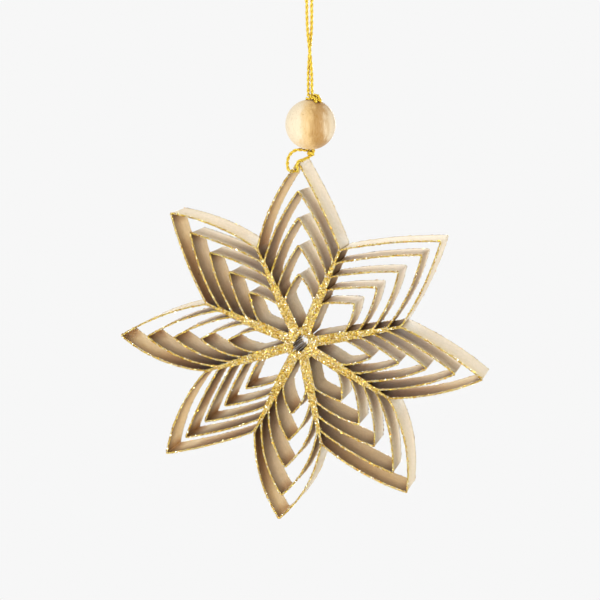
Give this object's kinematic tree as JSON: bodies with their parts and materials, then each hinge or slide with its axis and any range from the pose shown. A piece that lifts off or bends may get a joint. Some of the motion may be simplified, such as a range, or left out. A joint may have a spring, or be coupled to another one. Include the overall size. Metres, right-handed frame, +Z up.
{
  "type": "quilled paper snowflake ornament",
  "caption": "Hanging snowflake of nested folded paper strips with gold-edged petals, strung on a gold cord under a round wooden bead.",
  "frame": {"origin": "top of the hanging loop, on the cord's centre line, where a hook or twig carries it", "axes": "+Z up along the cord, the star's front faces -Y, +X to the right seen from the front"},
  "size_m": [0.1011, 0.0146, 0.1595],
  "materials": {
    "paper": "matte uncoated paper, gold glitter on the edges",
    "bead_wood": "satin varnish",
    "gold_cord": "twisted metallic thread"
  },
  "bodies": {
    "hanging_cord": {"hanging_loop": "gold_cord"},
    "knotted_cord": {"bead_cord": "gold_cord"},
    "bead": {"wooden_bead": "bead_wood"},
    "star": {"top_petal_strip_1": "paper", "top_petal_strip_2": "paper", "top_petal_strip_3": "paper", "top_petal_strip_4": "paper", "top_petal_strip_5": "paper", "upper_right_petal_strip_1": "paper", "upper_right_petal_strip_2": "paper", "upper_right_petal_strip_3": "paper", "upper_right_petal_strip_4": "paper", "upper_right_petal_strip_5": "paper", "right_petal_strip_1": "paper", "right_petal_strip_2": "paper", "right_petal_strip_3": "paper", "right_petal_strip_4": "paper", "right_petal_strip_5": "paper", "lower_right_petal_strip_1": "paper", "lower_right_petal_strip_2": "paper", "lower_right_petal_strip_3": "paper", "lower_right_petal_strip_4": "paper", "lower_right_petal_strip_5": "paper", "bottom_petal_strip_1": "paper", "bottom_petal_strip_2": "paper", "bottom_petal_strip_3": "paper", "bottom_petal_strip_4": "paper", "bottom_petal_strip_5": "paper", "lower_left_petal_strip_1": "paper", "lower_left_petal_strip_2": "paper", "lower_left_petal_strip_3": "paper", "lower_left_petal_strip_4": "paper", "lower_left_petal_strip_5": "paper", "left_petal_strip_1": "paper", "left_petal_strip_2": "paper", "left_petal_strip_3": "paper", "left_petal_strip_4": "paper", "left_petal_strip_5": "paper", "upper_left_petal_strip_1": "paper", "upper_left_petal_strip_2": "paper", "upper_left_petal_strip_3": "paper", "upper_left_petal_strip_4": "paper", "upper_left_petal_strip_5": "paper", "tip_loop": "gold_cord"}
  },
  "joints": [
    {"name": "cord_twist", "type": "hinge", "parent": "hanging_cord", "child": "knotted_cord", "pos_m": [0, 0, -0.042], "axis": [0, 0, 1], "range_deg": [-180, 180]},
    {"name": "bead_spin", "type": "hinge", "parent": "knotted_cord", "child": "bead", "pos_m": [0, 0, -0.05071], "axis": [0, 0, 1], "continuous": true},
    {"name": "star_swing", "type": "hinge", "parent": "knotted_cord", "child": "star", "pos_m": [0, 0, -0.05836], "axis": [1, 0, 0], "range_deg": [-30, 30]}
  ]
}
